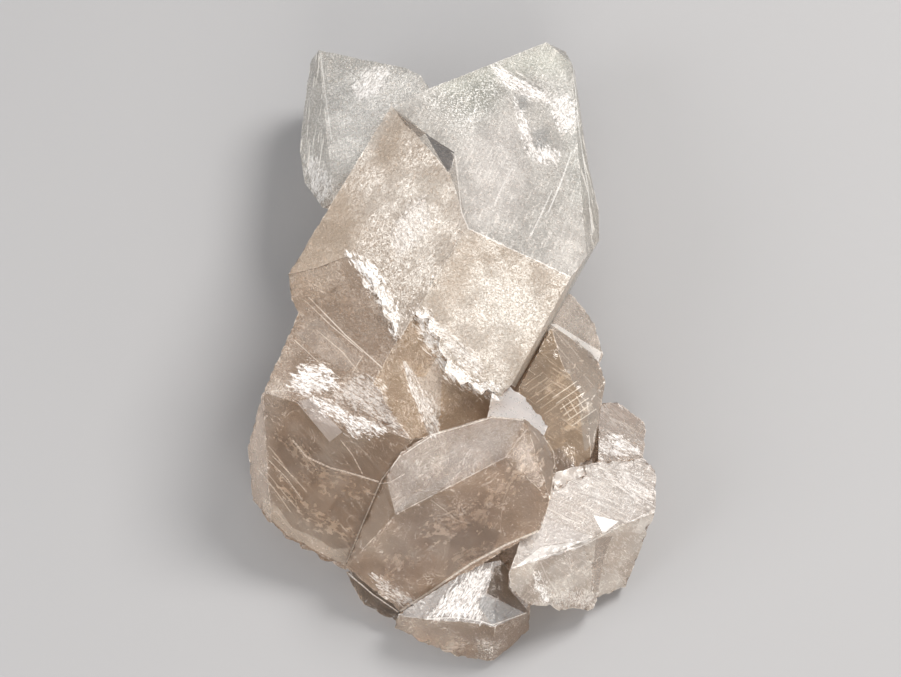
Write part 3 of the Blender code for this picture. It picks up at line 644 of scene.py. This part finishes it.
def crease_samples(mesh):
    """Places along the sharp outward edges of the solid."""
    samples = []
    for edge in mesh.edges:
        narrow = THIN * edge.calc_length()
        if len(edge.link_faces) < 2 or min(face.calc_area() for face in edge.link_faces) < narrow:
            continue
        if edge.calc_face_angle_signed(0.0) > CREASE:
            start, end = (np.array(vertex.co) for vertex in edge.verts)
            count = max(2, int(np.linalg.norm(end - start) / CREASE_SAMPLE))
            samples.extend(start + (end - start) * share for share in np.linspace(0, 1, count))
    return samples


def tree_of(samples):
    tree = KDTree(len(samples))
    for index, sample in enumerate(samples):
        tree.insert(sample, index)
    tree.balance()
    return tree


def soft_noise(points, size, turns, seed):
    """Soft noise about 0.5 at each place, with a feature size in millimetres."""
    shift = Vector((seed * 17.3, seed * 5.1, -seed * 11.7))
    places = (Vector(point) / size + shift for point in points)
    return np.array([0.5 + 0.42 * noise.fractal(place, 0.9, 2.0, turns) for place in places])


def relief(points, normals, edge, broken):
    """The corners, sunk inward by waves, chipped edges and broken patches, and kept in the solid's box."""
    sink = np.empty(len(points))
    lower = smooth(-points[:, 1], *LOWER_RANGE)
    for index, point in enumerate(points):
        spot = Vector(point)
        wave = 0.5 + 0.5 * noise.noise(spot / WAVE_SIZE)
        chip = max(0.0, noise.noise(spot / CHIP_SIZE) + 0.55 * noise.noise(spot / CHIP_GRAIN) + 0.1)
        near = max(0.0, 1.0 - edge[index] / CHIP_WIDTH) ** 1.5 * (0.35 if broken[index] > -0.8 else 1.0)
        depth = WAVE_DEPTH * wave * min(1.0, edge[index] / WAVE_FADE)
        depth += near * chip * (CHIP_DEPTH + LOWER_CHIP_DEPTH * lower[index])
        if broken[index] > -SHARD_REACH:
            shard = noise.cell(spot / SHARD_SIZE) * 0.3 + 0.5 * abs(noise.noise(spot / SHARD_GRAIN))
            depth += min(1.0, broken[index] + SHARD_REACH) * shard * SHARD_DEPTH
        sink[index] = depth
    sink *= smooth(points[:, 2], *UNDERSIDE_FADE)
    return np.clip(points - normals * sink[:, None], BOX_LOW, BOX_HIGH)


def faces_in_sight(centres, normals, tree):
    """Which small faces the viewer sees, with nothing of the solid before them."""
    seen = np.zeros(len(centres), bool)
    eye = Vector(EYE)
    for index in np.nonzero(normals @ TOWARD_VIEWER > FACING)[0]:
        way = Vector(centres[index]) - eye
        hit = tree.ray_cast(eye, way.normalized())
        seen[index] = hit[3] is not None and hit[3] > way.length - SIGHT_SLACK
    return seen


def zones_of(facets, areas, place, seen):
    """The number of the zone that covers most of the crystal face each small face lies on, or -1."""
    zone_of = np.full(facets.max() + 1, -1)
    share = np.zeros(facets.max() + 1)
    for number, (_, _, _, _, outline) in enumerate(ZONES):
        inside = (outline_distance(place, drawn(outline)) > 0.0) & seen
        weight = np.bincount(facets[inside], areas[inside], len(share))
        better = weight > share
        zone_of[better] = number
        share[better] = weight[better]
    return zone_of[facets]


def zone_values(zones, centres):
    """Each small face's tint, textures and grain run, from its zone or else from where it lies."""
    along = smooth(centres[:, 1], ROOT_END, TIP_START)
    tint = np.array(ROOT_TINT) * (1 - along[:, None]) + np.array(TIP_TINT) * along[:, None]
    values = {}
    for name in TEXTURES:
        values[name] = ROOT_TEXTURES.get(name, 0.0) * (1 - along) + TIP_TEXTURES.get(name, 0.0) * along
    runs = np.full(len(zones), ROOT_RUN)
    for number, (_, colour, run, textures, _) in enumerate(ZONES):
        chosen = zones == number
        tint[chosen] = colour
        runs[chosen] = run
        for name in TEXTURES:
            values[name][chosen] = textures.get(name, 0.0)
    return tint, values, runs


def mark_faces(place, seen, tint, values):
    """Blend the crisp markings into the tint and the textures of the small faces under them."""
    for colour, strength, clear, rough, outline in (mark for group in crisp_groups() for mark in group):
        reach = np.ptp(outline, axis=0).max() + MARK_MARGIN
        index = np.nonzero(seen & (np.abs(place - outline.mean(axis=0)).max(axis=1) < reach))[0]
        inside = index[outline_distance(place[index], outline) > -MARK_SLACK]
        for level, wanted in ((tint, np.array(colour)), (values["clear"], clear), (values["rough"], rough)):
            level[inside] = level[inside] * (1 - strength) + wanted * strength
        for name in ("grain", "hatch", "feather", "smoke", "speckle"):
            values[name][inside] *= 1 - MARK_CALM * strength


def face_values(mesh, tree):
    """Each small face's tint, textures and run of its grain, and whether the viewer sees it."""
    layer = mesh.faces.layers.int["facet"]
    facets = np.array([face[layer] for face in mesh.faces])
    areas = np.array([face.calc_area() for face in mesh.faces])
    centres = np.array([face.calc_center_median()[:] for face in mesh.faces])
    normals = np.array([face.normal[:] for face in mesh.faces])
    place = picture_place(centres)[:, :2]
    seen = faces_in_sight(centres, normals, tree)
    tint, values, runs = zone_values(zones_of(facets, areas, place, seen), centres)
    mark_faces(place, seen, tint, values)
    for _, run, outline in BROKEN:
        runs[seen & (outline_distance(place, drawn(outline)) > -BARB_REACH)] = run
    return tint, values, runs, seen


def along_runs(corner_places, runs):
    """Picture places turned so that the first runs along each face's own grain."""
    turn = np.radians(runs)
    along = corner_places[:, 0] * np.cos(turn) + corner_places[:, 1] * np.sin(turn)
    across = corner_places[:, 1] * np.cos(turn) - corner_places[:, 0] * np.sin(turn)
    return np.stack((along, across, corner_places[:, 2]), axis=1)


def cloud_values(place, seen):
    """Soft clouds as a tint and a share at each corner, with the calm and the peppered places."""
    tint = np.full((len(place), 3), 0.5)
    share = np.zeros(len(place))
    calm = np.zeros(len(place))
    for colour, strength, softness, outline in CLOUDS:
        inside = smooth(outline_distance(place, drawn(outline)), -softness, softness) * strength * seen
        if colour[0] < CALM_TINT:
            calm = np.maximum(calm, inside)
        total = inside + share * (1 - inside)
        mix = np.where(total > 1e-6, inside / np.maximum(total, 1e-6), 0.0)[:, None]
        tint = tint * (1 - mix) + np.array(colour) * mix
        share = total
    pepper = np.zeros(len(place))
    for strength, softness, outline in PEPPERED:
        here = smooth(outline_distance(place, drawn(outline)), -softness, softness) * strength * seen
        pepper = np.maximum(pepper, here)
    return tint, dict(cloud_share=share, calm=calm, pepper=pepper)


def broken_values(place, seen):
    """The distance into the nearest broken patch, how white it is, and whether it is a tear."""
    broken = np.full(len(place), -FAR_OFF)
    force = np.zeros(len(place))
    tear = np.zeros(len(place))
    for number, (strength, _, outline) in enumerate(BROKEN):
        distance = outline_distance(place, drawn(outline))
        nearer = distance > broken
        broken = np.where(nearer, distance, broken)
        force = np.where(nearer, strength, force)
        tear = np.where(nearer, number in TEARS, tear)
    return dict(broken=np.where(seen > 0.5, broken, -FAR_OFF), force=force, tear=tear)


def store(data, name, kind, domain, values):
    key = {"FLOAT": "value", "FLOAT_COLOR": "color", "FLOAT_VECTOR": "vector"}[kind]
    data.attributes.new(name, kind, domain).data.foreach_set(key, values.astype(np.float32).ravel())


def with_alpha(colours):
    return np.hstack((colours, np.ones((len(colours), 1))))


def solid_mesh():
    """The solid in millimetres, its crystal faces numbered, and the trees of its creases and faces."""
    mesh = bmesh.new()
    mesh.from_mesh(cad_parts["quartz_cluster"].data)
    bmesh.ops.remove_doubles(mesh, verts=mesh.verts[:], dist=1e-6)
    bmesh.ops.scale(mesh, verts=mesh.verts[:], vec=(1 / MM,) * 3)
    bmesh.ops.dissolve_limit(mesh, angle_limit=math.radians(0.2), verts=mesh.verts[:], edges=mesh.edges[:])
    creases = tree_of(crease_samples(mesh))
    layer = mesh.faces.layers.int.new("facet")
    for number, face in enumerate(mesh.faces):
        face[layer] = number
    bmesh.ops.triangulate(mesh, faces=mesh.faces[:])
    return mesh, creases, BVHTree.FromBMesh(mesh)


def add_detail(mesh, creases):
    """Cut in the outlines of the crisp markings and split what is too long."""
    for group in crisp_groups():
        cut_outlines(mesh, [mark[4] for mark in group])
    drop_folds(mesh)
    refine(mesh, creases)
    drop_folds(mesh)
    mesh.normal_update()


def corner_values(mesh, points, place, face_seen, creases):
    """The clouds' tint at each corner of the mesh, and by name what else is measured there."""
    mesh.verts.index_update()
    seen = np.zeros(len(points))
    for face, visible in zip(mesh.faces, face_seen):
        if visible:
            seen[[vertex.index for vertex in face.verts]] = 1.0
    cloud, measured = cloud_values(place, seen)
    measured |= broken_values(place, seen)
    measured["edge"] = np.array([min(creases.find(point)[2], EDGE_REACH) for point in points])
    measured |= dict(patchy=soft_noise(points, 6.0, 3, 1), smoky=soft_noise(points, 11.0, 4, 2))
    return cloud, measured


def add_piece(name, mesh, material):
    """A smooth shaded object from a mesh in millimetres."""
    data = bpy.data.meshes.new(name)
    mesh.to_mesh(data)
    mesh.free()
    data.materials.append(material)
    for polygon in data.polygons:
        polygon.use_smooth = True
    made = add_object(name, data)
    made.scale = (MM,) * 3
    return made


def quartz_surface():
    mesh, creases, tree = solid_mesh()
    add_detail(mesh, creases)
    tint, values, runs, face_seen = face_values(mesh, tree)
    points = coordinates(mesh)
    normals = np.array([vertex.normal[:] for vertex in mesh.verts])
    place = picture_place(points)
    cloud, measured = corner_values(mesh, points, place[:, :2], face_seen, creases)

    surface = add_piece("quartz_surface", mesh, smoky_quartz())
    data = surface.data
    worn = relief(points, normals, measured["edge"], measured["broken"])
    data.vertices.foreach_set("co", worn.ravel())
    data.update()
    data.set_sharp_from_angle(angle=SHARP_EDGE)
    store(data, "tint", "FLOAT_COLOR", "FACE", with_alpha(tint))
    for name in TEXTURES:
        store(data, name, "FLOAT", "FACE", values[name])
    store(data, "cloud", "FLOAT_COLOR", "POINT", with_alpha(cloud))
    for name, levels in measured.items():
        store(data, name, "FLOAT", "POINT", levels)
    store(data, "picture", "FLOAT_VECTOR", "POINT", place)
    corners = np.empty(len(data.loops), np.int32)
    data.loops.foreach_get("vertex_index", corners)
    store(data, "run", "FLOAT_VECTOR", "CORNER", along_runs(place[corners], np.repeat(runs, 3)))
    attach(surface, "root")
    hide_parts("quartz_cluster")
    return tree


QUARTZ_IOR = 1.544
SMOKE_COLOUR = (0.80, 0.62, 0.46, 1.0)
SMOKE_DENSITY = 7.0


def filaments(g, vector, scale, width, twist=1.0):
    """Thin wormy bright lines, where a noise crosses its middle."""
    field = g.noise(vector, scale, 3.0, 0.6, twist)
    off = g.math("ABSOLUTE", g.math("SUBTRACT", field, 0.5))
    return g.ramp(off, width, 0.0)


def crystal_marks(g, picture, run, patchy, crumple):
    """Grain, specks, smoke and strokes, some partly painted highlight and shade: each one's share, how much
    it tints, its tint, and its frost.
    """
    weight = {name: g.attribute(name) for name in TEXTURES}
    worms = filaments(g, g.mapped(run, (0.6, 1.0, 1.0)), 0.75, 0.032, 1.4)
    fine_worms = filaments(g, g.mapped(run, (0.7, 1.0, 1.0)), 1.4, 0.045, 1.1)
    salt = g.noise(picture, 2.4, 2.0, 0.7)
    clouds = g.attribute("smoky")
    wisps = filaments(g, g.mapped(run, (0.45, 1.0, 0.8)), 0.25, 0.016, 1.6)
    lines = g.noise(g.mapped(run, (0.10, 2.2, 0.2)), 1.0, 3.0, 0.6)
    plumes = g.noise(g.mapped(run, (0.2, 1.15, 0.6)), 1.0, 4.0, 0.64, 1.1)

    grain = g.times(weight["grain"], g.math("MAXIMUM", worms, g.times(fine_worms, 0.7)))
    grain = g.times(grain, g.ramp(g.attribute("calm"), 0.0, 0.8, 1.0, 0.25))
    grain = g.times(grain, g.ramp(patchy, 0.34, 0.56, 0.4, 1.0))
    specks = g.math("MAXIMUM", weight["speckle"], g.attribute("pepper"))
    smoke = weight["smoke"]
    hatch = weight["hatch"]
    feather = weight["feather"]
    return (
        # Etched grain, dark crumple and pale worms: part frost, part painted shade and highlight of its tiny
        # relief.
        (g.times(weight["grain"], g.ramp(crumple, 0.47, 0.36)), 0.65, (0.32, 0.235, 0.17), 0.25),
        (grain, 0.9, (1.0, 0.97, 0.92), 0.5),
        # Specks: fine white and dark salt of a druse, part painted highlight and shade of its relief.
        (g.times(specks, g.ramp(salt, 0.52, 0.60)), 0.9, (1.0, 1.0, 0.98), 0.35),
        (g.times(specks, g.ramp(salt, 0.47, 0.39)), 0.85, (0.20, 0.21, 0.18), 0.4),
        (g.times(smoke, g.ramp(clouds, 0.48, 0.76)), 0.5, (0.88, 0.77, 0.66), 0.0),
        (g.times(smoke, g.ramp(clouds, 0.5, 0.3)), 0.5, (0.38, 0.27, 0.19), 0.0),
        (g.times(smoke, g.times(wisps, g.ramp(patchy, 0.42, 0.6))), 0.5, (0.92, 0.86, 0.80), 0.3),
        # Sparse white flecks on the smoky faces: part inclusions, part painted glints.
        (g.times(smoke, g.ramp(salt, 0.67, 0.71)), 0.6, (0.97, 0.93, 0.88), 0.5),
        (g.times(hatch, g.ramp(lines, 0.55, 0.64)), 0.5, (0.93, 0.88, 0.82), 0.45),
        (g.times(hatch, g.ramp(lines, 0.45, 0.36)), 0.5, (0.30, 0.27, 0.24), 0.3),
        (g.times(feather, g.ramp(plumes, 0.5, 0.64)), 0.75, (1.0, 0.985, 0.97), 0.4),
        (g.times(feather, g.ramp(plumes, 0.44, 0.34)), 0.55, (0.46, 0.37, 0.30), 0.2),
    )


def broken_patches(g, run):
    """The share and the tint of the broken white patches, ragged at the edge and barbed along their run."""
    ragged = g.noise(g.mapped(run, (0.35, 1.2, 0.8), (7.0, 3.0, 0.0)), 0.8, 4.0, 0.72, 1.2)
    reach = g.math("ADD", g.attribute("broken"), g.times(g.math("SUBTRACT", ragged, 0.5), 9.0))
    share = g.times(g.ramp(reach, -0.3, 0.7), g.attribute("force"))
    barbs = g.noise(g.mapped(run, (0.38, 1.5, 0.8)), 1.0, 4.0, 0.74, 2.0)
    share = g.times(share, g.ramp(barbs, 0.36, 0.54, 0.12, 1.0))
    # The grey between the barbs, darker on the tears, is painted shade in the crumpled white.
    between = g.mix(g.attribute("tear"), (0.56, 0.50, 0.47), (0.90, 0.84, 0.79))
    return share, g.mix(g.ramp(barbs, 0.45, 0.55), between, (0.99, 0.97, 0.96))


def worn_and_highlit_edges(g, patchy, crumple):
    """The share of the white along worn edges, stronger where chipped: wear and a painted ridge highlight.
    """
    edge = g.math("ADD", g.attribute("edge"), g.times(g.math("SUBTRACT", crumple, 0.5), 0.8))
    chipped = g.times(g.math("SUBTRACT", patchy, 0.62), 3.0)
    return g.times(g.ramp(edge, 0.26, 0.0), g.ramp(chipped, -0.8, 0.0, 0.08, 0.4))


def smoky_quartz():
    """The crystal: see-through, with frost, grain, smoke and growth lines in its tint, gloss and relief."""
    material = bpy.data.materials.new("smoky_quartz")
    material.use_nodes = True
    g = Graph(material)
    shader = material.node_tree.nodes["Principled BSDF"]
    picture = g.attribute("picture", "Vector")
    run = g.attribute("run", "Vector")
    patchy = g.attribute("patchy")
    crumple = g.noise(picture, 1.3, 3.0, 0.62, 0.8)
    marks = crystal_marks(g, picture, run, patchy, crumple)
    broken, shards = broken_patches(g, run)
    worn = worn_and_highlit_edges(g, patchy, crumple)

    colour = g.mix(g.attribute("cloud_share"), g.attribute("tint", "Color"), g.attribute("cloud", "Color"))
    colour = g.mix(1.0, colour, g.grey(g.ramp(patchy, 0.3, 0.7, 0.93, 1.06)), "MULTIPLY")
    for share, amount, tint, _ in marks:
        colour = g.mix(g.times(share, amount), colour, tint)
    colour = g.mix(broken, colour, shards)
    # White along the edges: wear together with a painted highlight on the ridges.
    colour = g.mix(worn, colour, (0.98, 0.95, 0.91))
    g.feed(shader.inputs["Base Color"], colour)

    clear = g.attribute("clear")
    for share, _, _, frost in marks:
        if frost:
            clear = g.math("SUBTRACT", clear, g.times(share, frost))
    clear = g.math("SUBTRACT", clear, g.times(broken, 0.6))
    clear = g.math("SUBTRACT", clear, worn, True)
    g.feed(shader.inputs["Transmission Weight"], clear)

    rough = g.math("ADD", g.attribute("rough"), g.times(broken, 0.15))
    rough = g.math("ADD", rough, g.ramp(crumple, 0.3, 0.7, -0.04, 0.08))
    g.feed(shader.inputs["Roughness"], rough)

    rugged = g.math("ADD", 0.05, g.times(g.attribute("grain"), 0.45))
    rugged = g.math("ADD", rugged, g.times(g.attribute("feather"), 0.35))
    rugged = g.math("ADD", rugged, g.ramp(g.attribute("broken"), -0.5, 0.5, 0.0, 0.45))
    bump = g.node("ShaderNodeBump", dict(Strength=1.0, Distance=MM, Height=g.times(crumple, rugged)))
    g.feed(shader.inputs["Normal"], bump.outputs[0])

    shader.inputs["IOR"].default_value = QUARTZ_IOR
    absorb = g.node("ShaderNodeVolumeAbsorption", dict(Color=SMOKE_COLOUR, Density=SMOKE_DENSITY))
    g.feed(material.node_tree.nodes["Material Output"].inputs["Volume"], absorb.outputs[0])
    return material


# Healed fractures inside the crystals, which show as white veils

# Each veil: place in the picture, depth below the surface, length, width, turn, lean and seed
VEILS = (
    ((345, 130), 7, 16, 9, 20, 30, 1), ((330, 150), 9, 14, 7, 70, 45, 2),
    ((500, 130), 8, 22, 12, 60, 30, 3), ((540, 150), 6, 26, 8, 65, 55, 4),
    ((560, 200), 7, 22, 8, 62, 40, 5), ((500, 190), 12, 20, 14, 20, 30, 6),
    ((400, 170), 7, 18, 10, 60, 40, 7), ((370, 220), 9, 20, 10, 55, 30, 8),
    ((430, 250), 6, 16, 9, 40, 45, 9), ((500, 300), 6, 22, 12, 50, 30, 10),
    ((530, 320), 5, 14, 8, 60, 50, 11), ((340, 300), 5, 14, 8, -45, 40, 12),
    ((330, 350), 6, 16, 8, -40, 30, 13), ((300, 450), 5, 18, 8, -50, 50, 14),
    ((340, 480), 6, 22, 9, -20, 30, 15), ((330, 520), 7, 20, 9, -30, 45, 16),
    ((290, 490), 4, 14, 6, -50, 40, 17), ((420, 380), 5, 12, 8, 60, 40, 18),
    ((440, 470), 4, 16, 7, 30, 35, 19), ((450, 520), 5, 24, 10, 30, 30, 20),
    ((400, 560), 5, 20, 8, 40, 45, 21), ((490, 500), 6, 18, 10, 60, 40, 22),
    ((520, 470), 5, 14, 8, 55, 30, 23), ((470, 550), 6, 16, 8, 30, 55, 24),
    ((560, 380), 5, 14, 8, 35, 40, 25), ((570, 420), 5, 12, 8, 40, 30, 26),
    ((585, 340), 4, 10, 6, -50, 40, 27), ((620, 430), 4, 10, 7, -30, 30, 28),
    ((600, 490), 4, 16, 8, -20, 35, 29), ((630, 500), 4, 12, 7, -25, 45, 30),
    ((570, 570), 5, 16, 9, 40, 40, 31), ((610, 560), 5, 14, 8, -50, 40, 32),
    ((450, 640), 5, 16, 7, 5, 45, 33), ((490, 640), 4, 10, 6, -20, 40, 34),
)
VEIL_CELL = 0.34
VEIL_MARGIN = 0.5
VEIL_LACE = 0.36


def veil_faces(mesh, tree, place, depth, length, width, turn, lean, seed):
    """One ragged, lacy sheet under the surface at a place in the picture."""
    way = Vector(sight_ray(drawn(place)[0])).normalized()
    surface = tree.ray_cast(Vector(EYE), way)[0]
    if surface is None:
        return
    middle = surface + way * depth
    basis = Matrix.Rotation(math.radians(90.0 - VIEW_ELEVATION), 3, "X")
    basis = basis @ Matrix.Rotation(math.radians(turn), 3, "Z") @ Matrix.Rotation(math.radians(lean), 3, "X")
    across = int(length / VEIL_CELL)
    down = int(width / VEIL_CELL)
    grid = {}
    for row in range(down + 1):
        for column in range(across + 1):
            u = (column / across - 0.5) * length
            v = (row / down - 0.5) * width
            flat = Vector((u, v, seed * 9.1))
            bulge = 0.9 * noise.noise(flat / 5.0) + 0.35 * noise.noise(flat / 1.8)
            point = middle + basis @ Vector((u, v, bulge))
            fade = 1.0 - (2 * u / length) ** 2 - (2 * v / width) ** 2
            lace = noise.fractal(Vector((u / 2.0, v / 0.6, seed * 3.7)), 0.7, 2.0, 4)
            near = tree.find_nearest(point)
            inside = (point - near[0]).dot(near[1]) < 0.0 and near[3] > VEIL_MARGIN
            grid[row, column] = point if inside and fade * 0.5 + lace > VEIL_LACE else None
    made = {key: mesh.verts.new(point) for key, point in grid.items() if point is not None}
    for row in range(down):
        for column in range(across):
            corners = [(row, column), (row, column + 1), (row + 1, column + 1), (row + 1, column)]
            here = [made[key] for key in corners if key in made]
            if len(here) >= 3:
                mesh.faces.new(here)


def inner_veils(tree):
    mesh = bmesh.new()
    for veil in VEILS:
        veil_faces(mesh, tree, *veil)
    loose = [vertex for vertex in mesh.verts if not vertex.link_faces]
    bmesh.ops.delete(mesh, geom=loose, context="VERTS")
    veils = add_piece("inner_veils", mesh, veil_white())
    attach(veils, "root")


def veil_white():
    """Healed fractures: white, a little warm, with finer specks."""
    material = bpy.data.materials.new("veil_white")
    material.use_nodes = True
    g = Graph(material)
    shader = material.node_tree.nodes["Principled BSDF"]
    place = g.node("ShaderNodeTexCoord").outputs["Object"]
    specks = g.ramp(g.noise(place, 1.4, 3.0, 0.7), 0.4, 0.6)
    g.feed(shader.inputs["Base Color"], g.mix(specks, (0.92, 0.88, 0.84), (0.99, 0.98, 0.97)))
    shader.inputs["Roughness"].default_value = 0.45
    return material


add_stage()
solid_tree = quartz_surface()
inner_veils(solid_tree)

bpy.context.view_layer.update()
